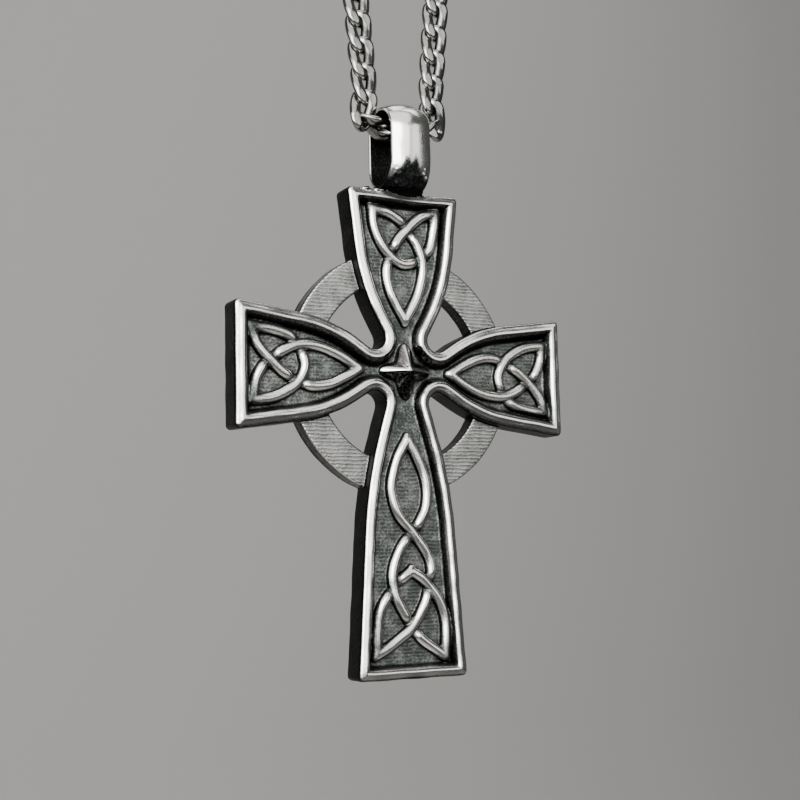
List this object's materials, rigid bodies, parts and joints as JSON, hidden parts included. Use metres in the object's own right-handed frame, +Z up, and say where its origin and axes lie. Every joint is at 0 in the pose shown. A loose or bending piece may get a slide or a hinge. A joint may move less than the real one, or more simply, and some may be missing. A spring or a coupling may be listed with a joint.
{
  "type": "celtic cross pendant necklace",
  "caption": "Celtic cross pendant of antiqued silver: flared rimmed arms with knotwork, a ring behind them, a small star, and a domed bail on a curb chain.",
  "frame": {"origin": "inside of the chain's top, under the clasp, where the necklace hangs", "axes": "+Z up along the hanging necklace, -Y out of the pendant's front, +X to the right as seen from the front"},
  "size_m": [0.0414, 0.0052, 0.2591],
  "materials": {
    "antiqued_silver": "cast sterling silver, polished on the raised rim, knotwork, star and bail, with dark grey-green patina in the sunk field and on the ring",
    "chain_silver": "polished sterling silver, darkened between the links"
  },
  "bodies": {
    "chain": {"curb_chain": "chain_silver", "clasp": "chain_silver"},
    "pendant": {"cross_pendant": "antiqued_silver"}
  },
  "joints": [
    {"name": "bail_swing", "type": "hinge", "parent": "chain", "child": "pendant", "pos_m": [0, 0, -0.21213], "axis": [1, 0, 0], "range_deg": [-140, 140]}
  ]
}
